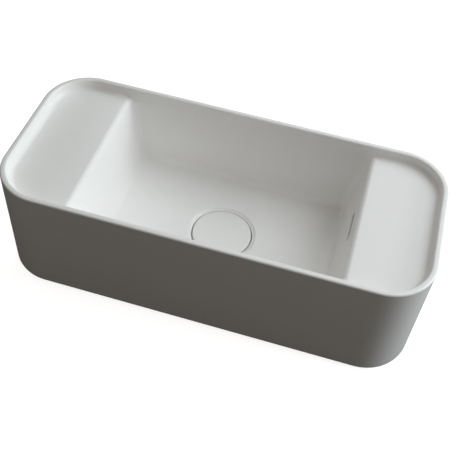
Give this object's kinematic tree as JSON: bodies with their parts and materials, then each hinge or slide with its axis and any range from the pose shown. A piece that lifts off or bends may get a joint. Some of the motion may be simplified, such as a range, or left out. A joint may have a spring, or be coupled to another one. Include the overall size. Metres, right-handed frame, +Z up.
{
  "type": "countertop basin",
  "caption": "Rounded oblong white ceramic countertop basin with a flat shelf at each end, a deep bowl, an overflow slot and a press-to-open plug over a threaded waste",
  "frame": {"origin": "middle of the foot ring, on the plane where the basin stands on the counter", "axes": "+X along the basin's length towards the overflow's end, +Y towards the back, +Z up"},
  "size_m": [0.48, 0.211, 0.188],
  "materials": {
    "glaze": "white satin glaze",
    "chrome": "polished plate",
    "rubber": "matte moulded",
    "plastic": "off-white moulded",
    "brass": "turned",
    "steel": "drawn stainless"
  },
  "bodies": {
    "basin_and_waste": {"basin": "glaze", "flange_seal": "rubber", "waste_body": "chrome", "lower_seal": "rubber", "slip_washer": "plastic", "back_nut": "brass", "cartridge_sleeve": "plastic", "end_plug": "plastic", "return_spring": "steel"},
    "plug": {"plug_cap": "glaze", "bond_pad": "rubber", "plug_carrier": "chrome", "plug_seal": "rubber", "plunger": "steel"},
    "rotor": {"index_rotor": "plastic"}
  },
  "joints": [
    {"name": "plug_lift", "type": "slide", "parent": "basin_and_waste", "child": "plug", "axis": [0, 0, 1], "range_m": [0, 0.01], "deforming": ["return_spring"]},
    {"name": "rotor_turn", "type": "hinge", "parent": "plug", "child": "rotor", "pos_m": [0, 0, 0.006], "axis": [0, 0, 1], "range_deg": [0, 45]}
  ],
  "couplings": [
    {"joint": "rotor_turn", "follows": "plug_lift", "rad_per_m": 78.54}
  ]
}
